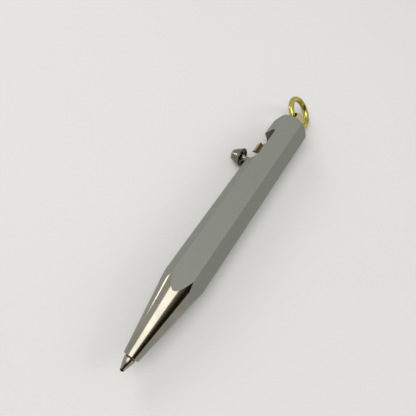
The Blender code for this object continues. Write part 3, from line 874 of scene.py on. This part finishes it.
def make_bolt():
    """The knob with its stem, and the slider that it is screwed into."""
    origin = (BOLT_STATION, 0, AXIS_HEIGHT)
    knob_mesh = turned("bolt_knob", handle_profile(), 144, origin, outward(LANE_ANGLE))
    knob = new_piece("bolt_knob", knob_mesh, knob_finish())
    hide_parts("bolt_handle")
    edge = SLIDER_RADIUS - SLIDER_CHAMFER
    profile = [
        (WELD, SLIDER_FRONT - SPIGOT_LENGTH),
        (SPIGOT_RADIUS - SLIDER_CHAMFER, SLIDER_FRONT - SPIGOT_LENGTH),
        (SPIGOT_RADIUS, SLIDER_FRONT - SPIGOT_LENGTH + SLIDER_CHAMFER),
        (SPIGOT_RADIUS, SLIDER_FRONT),
        (edge, SLIDER_FRONT),
        (SLIDER_RADIUS, SLIDER_FRONT + SLIDER_CHAMFER),
        (SLIDER_RADIUS, SLIDER_REAR - SLIDER_CHAMFER),
        (edge, SLIDER_REAR),
        (WELD, SLIDER_REAR),
    ]
    slider_mesh = turned("slider", profile, 96, (0, 0, AXIS_HEIGHT), (1, 0, 0), Vector((0, 0, 1)))
    brass = brass_finish("slider_brass", SLIDER_BRASS, SLIDER_DULL, 0.24)
    slider = new_piece("slider", slider_mesh, brass)
    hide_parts("bolt_slider")
    for piece in (knob, slider):
        piece.data.shade_smooth()
        piece.data.set_sharp_from_angle(angle=math.radians(32))
        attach(piece, "bolt")


make_bolt()


# The refill is a drawn nickel-plated tube with a turned point pressed into its front and a
# carbide ball in the point, wet with black ink. The tube, the ink and the grease behind the ink
# keep the frame's own shapes.
POINT_REACH = 0.0032
POINT_SHOULDER_RADIUS = 0.00135
POINT_SHOULDER_GAP = 0.00025
POINT_SHOULDER = NOSE_END - POINT_SHOULDER_GAP
POINT_EDGE = 0.00003
POINT_BELLY = 0.00008
TUBE_RADIUS = 0.001175
POINT_COLLAR_BACK = NOSE_END + 0.0009
POINT_SHANK_RADIUS = 0.00085
POINT_SHANK_LENGTH = 0.0028
POINT_LIP_RADIUS = 0.00046
POINT_LIP_ROUND = 0.00002
POINT_SLEEVE_LENGTH = 0.00025
POINT_SLEEVE_FLARE = 0.00005
POINT_SEAT_DEPTH = 0.00012
POINT_INK_REACH = 0.0002
BALL_RADIUS = 0.00035
BALL_SHOWING = 0.00018
BALL_CENTRE = NOSE_END - POINT_REACH + BALL_RADIUS

POINT_NICKEL = (0.34, 0.315, 0.26)
POINT_BROWN = (0.24, 0.20, 0.14)
# The point's dark colour is ink at its lip and painted shade behind its shoulder.
POINT_INK_AND_SHADE = (0.020, 0.017, 0.012)
TUBE_NICKEL = (0.50, 0.48, 0.43)
TUBE_SHADE = (0.36, 0.34, 0.30)
INK_BLACK = (0.010, 0.010, 0.018)
INK_SHEEN = (0.020, 0.018, 0.040)
BALL_BARE = (0.030, 0.027, 0.024)
GREASE_PALE = (0.60, 0.58, 0.45)
GREASE_DARK = (0.46, 0.43, 0.28)


def point_profile():
    """The point from its lip back to its shank: a short sleeve round the ball, a cone with a
    little belly, radius + belly * sin(pi * share), the shoulder, the collar and the shank."""
    lip = BALL_CENTRE - BALL_RADIUS + BALL_SHOWING
    sleeve = lip + POINT_SLEEVE_LENGTH
    share = np.linspace(0, 1, 33)
    sleeve_radius = POINT_LIP_RADIUS + POINT_SLEEVE_FLARE
    widest = POINT_SHOULDER_RADIUS - POINT_EDGE
    belly = sleeve_radius + (widest - sleeve_radius) * share + POINT_BELLY * np.sin(share * math.pi)
    cone = np.stack([belly, sleeve + (POINT_SHOULDER - POINT_EDGE - sleeve) * share], -1)
    seat = lip + POINT_SEAT_DEPTH
    front = [(WELD, seat), (BALL_RADIUS, seat), (BALL_RADIUS + POINT_LIP_ROUND, lip)]
    front += [(POINT_LIP_RADIUS - POINT_LIP_ROUND, lip), (POINT_LIP_RADIUS, lip + POINT_LIP_ROUND)]
    back = POINT_COLLAR_BACK + POINT_SHANK_LENGTH
    rear = [(POINT_SHOULDER_RADIUS, POINT_SHOULDER), (TUBE_RADIUS, POINT_SHOULDER)]
    rear += [(TUBE_RADIUS, POINT_COLLAR_BACK), (POINT_SHANK_RADIUS, POINT_COLLAR_BACK)]
    rear += [(POINT_SHANK_RADIUS, back), (WELD, back)]
    return np.concatenate([front, cone, rear])


def point_finish():
    """Turned nickel silver: brownish, with fine rings of the tool, ink on its lip, and painted
    shade in the gap behind its shoulder."""
    metal = Finish("point_nickel", Metallic=1.0)
    where = metal.place()
    along = metal.axis(where, "X")
    rings = metal.tool_rings(along, 16000)
    film = metal.noise(where, 1500, 3)
    nickel = metal.mix(film.step(0.45, 0.8), POINT_NICKEL, POINT_BROWN)
    # Painted shade: behind the shoulder, in the gap under the nose's rim, the point is darkened in
    # colour; by the ball the same dark colour is ink.
    behind = along.step(POINT_SHOULDER, POINT_SHOULDER + POINT_LIP_ROUND)
    ink_and_shade = behind + 1 - along.step(BALL_CENTRE, BALL_CENTRE + POINT_INK_REACH)
    metal.shade(Base_Color=metal.mix(ink_and_shade, nickel, POINT_INK_AND_SHADE))
    metal.shade(Roughness=0.13 + (rings - 0.5) * 0.04 + film * 0.04)
    metal.shade(Normal=metal.bump(rings, 0.0000002, 0.6))
    return metal.material


def wet_ball_finish():
    """A ground ball under a film of black ink, thin in places."""
    metal = Finish("wet_ball", Specular_IOR_Level=0.2)
    film = metal.noise(metal.place(), 4000, 3)
    metal.shade(Base_Color=metal.mix(film.step(0.5, 0.9), INK_BLACK, BALL_BARE))
    metal.shade(Roughness=0.30 + film * 0.15)
    metal.shade(Normal=metal.bump(film, 0.000002, 0.3))
    return metal.material


def streaked_finish(name, pale, dark, roughness, metallic):
    """A drawn or filled part: streaks along the pen between two shades."""
    look = Finish(name, Metallic=metallic)
    streaks = look.noise(look.place(scale=(0.05, 1, 1)), 6000, 3)
    look.shade(Base_Color=look.mix(streaks, pale, dark))
    look.shade(Roughness=roughness + (streaks - 0.5) * 0.12)
    look.shade(Normal=look.bump(streaks, 0.000002, 0.4))
    return look.material


def make_refill():
    """The point and its ball, and the finishes of the tube and of what fills it."""
    pen = (0, 0, AXIS_HEIGHT)
    side = Vector((0, 0, 1))
    point_mesh = turned("point", point_profile(), 96, pen, (1, 0, 0), side)
    point = new_piece("point", point_mesh, point_finish())
    ball_profile = arc((0, BALL_CENTRE), BALL_RADIUS, -math.pi / 2 + 0.01, math.pi / 2 - 0.01, 32)
    ball_mesh = turned("ball", ball_profile, 64, pen, (1, 0, 0), side)
    ball = new_piece("ball", ball_mesh, wet_ball_finish())
    dressed = ((point, "refill_point", "point_nickel"), (ball, "writing_ball", "ball_carbide"))
    for piece, node, slot in dressed:
        piece.data.shade_smooth()
        piece.data.set_sharp_from_angle(angle=math.radians(30))
        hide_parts(node)
        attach(piece, "refill")
    looks = {
        "refill_tube": streaked_finish("drawn_tube", TUBE_NICKEL, TUBE_SHADE, 0.26, 1.0),
        "ink_column": streaked_finish("black_ink", INK_BLACK, INK_SHEEN, 0.25, 0.0),
        "ink_follower": streaked_finish("follower_grease", GREASE_PALE, GREASE_DARK, 0.30, 0.0),
    }
    for node, material in looks.items():
        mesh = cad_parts[node].data
        mesh.materials.clear()
        mesh.materials.append(material)


make_refill()


# The key ring is round brass wire, bent to a ring whose ends meet inside the hole, and polished.
# It has sunk on to the table.
RING_RADIUS = 0.0043
WIRE_RADIUS = 0.00083
RING_GAP = 0.0003
RING_END_SHARE = 0.93
RING_SWING = math.radians(12.2127)
HINGE_DISTANCE = 0.0040262

RING_BRASS = (0.51, 0.46, 0.12)
RING_DULL = (0.29, 0.21, 0.035)


def ring_mesh():
    """A tube about a circle: centre + (R + r cos v) (cos u * out + sin u * pin) + r sin v * side,
    from one end of the wire to the other, with each end drawn in to close it."""
    pin = outward(KEY_HOLE_ANGLE)
    level = Vector((0, pin.z, -pin.y))
    out = Vector((1, 0, 0)) * math.cos(RING_SWING) + level * math.sin(RING_SWING)
    side = np.array(pin.cross(out))
    out, pin = np.array(out), np.array(pin)
    hinge = np.array((TAIL_END - KEY_HOLE_TO_TAIL, 0, AXIS_HEIGHT))
    half_gap = RING_GAP / RING_RADIUS / 2
    u = np.linspace(math.pi + half_gap, 3 * math.pi - half_gap, 257)[:, None]
    v = np.linspace(0, math.tau, 48, endpoint=False)[None, :]
    size = np.full_like(u, WIRE_RADIUS)
    size[[0, -1]] *= RING_END_SHARE
    across = (RING_RADIUS + size * np.cos(v))[..., None]
    ring = np.cos(u)[..., None] * out + np.sin(u)[..., None] * pin
    rings = hinge + out * HINGE_DISTANCE + across * ring + (size * np.sin(v))[..., None] * side
    return skin("split_ring", rings)


def ring_finish():
    """Polished brass wire: bright, greenish yellow, with drawing lines along the wire and a
    little tarnish."""
    metal = Finish("ring_brass", Metallic=1.0)
    wrap = metal.node("UVMap", {"uv_map": "wrap"}, {})
    lines = metal.noise(metal.node("Mapping", {}, {"Vector": wrap, "Scale": (60, 4, 1)}), 1.0, 3)
    tarnish = metal.noise(metal.place(), 520, 4).step(0.44, 0.68)
    metal.shade(Base_Color=metal.mix(tarnish * 0.8 + lines * 0.2, RING_BRASS, RING_DULL))
    metal.shade(Roughness=0.11 + tarnish * 0.08 + (lines - 0.5) * 0.06)
    metal.shade(Normal=metal.bump(lines, 0.0000005, 0.4))
    return metal.material


def make_key_ring():
    """The ring through the tail."""
    ring = new_piece("split_ring", ring_mesh(), ring_finish())
    ring.data.shade_smooth()
    ring.data.set_sharp_from_angle(angle=math.radians(50))
    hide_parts("key_ring")
    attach(ring, "key_ring")


make_key_ring()


bpy.context.view_layer.update()
